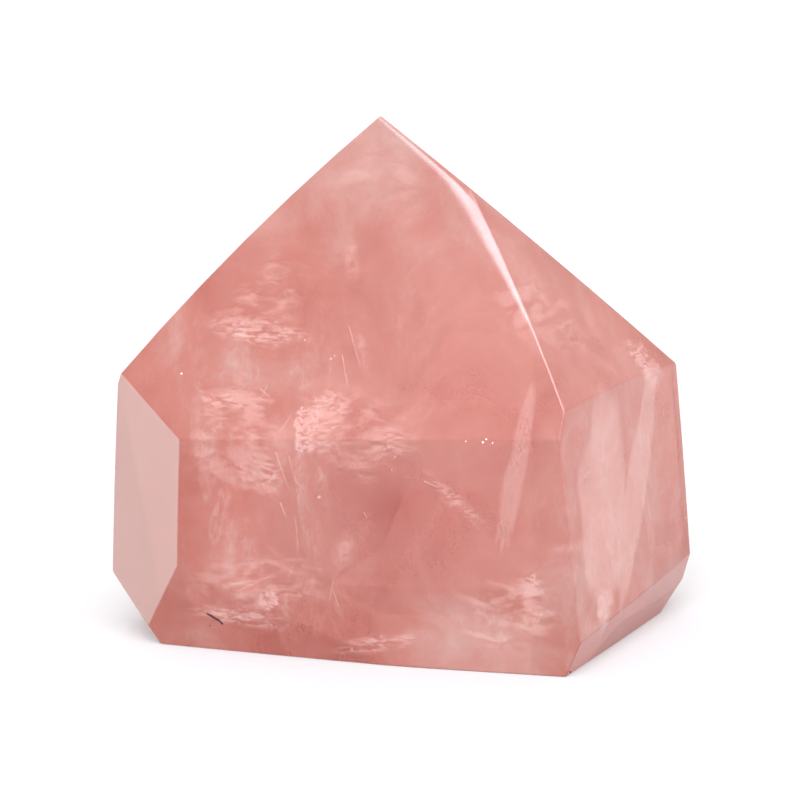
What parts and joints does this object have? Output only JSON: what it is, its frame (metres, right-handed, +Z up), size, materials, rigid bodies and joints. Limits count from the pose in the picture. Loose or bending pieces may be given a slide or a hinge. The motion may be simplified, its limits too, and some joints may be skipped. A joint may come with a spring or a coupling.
{
  "type": "rose quartz point",
  "caption": "Broad, low rose quartz crystal cut to a single point, polished on every facet and flat underneath so that it stands upright.",
  "frame": {"origin": "middle of the footprint box, in the surface that the stone stands on", "axes": "+Z up through the point, -Y out of the broad front face, +X to the right seen from the front"},
  "size_m": [0.0906, 0.0736, 0.0796],
  "materials": {
    "rose_quartz": "clear to milky pink quartz with a lapidary polish"
  },
  "bodies": {
    "root": {"rose_quartz_point": "rose_quartz"}
  },
  "joints": []
}
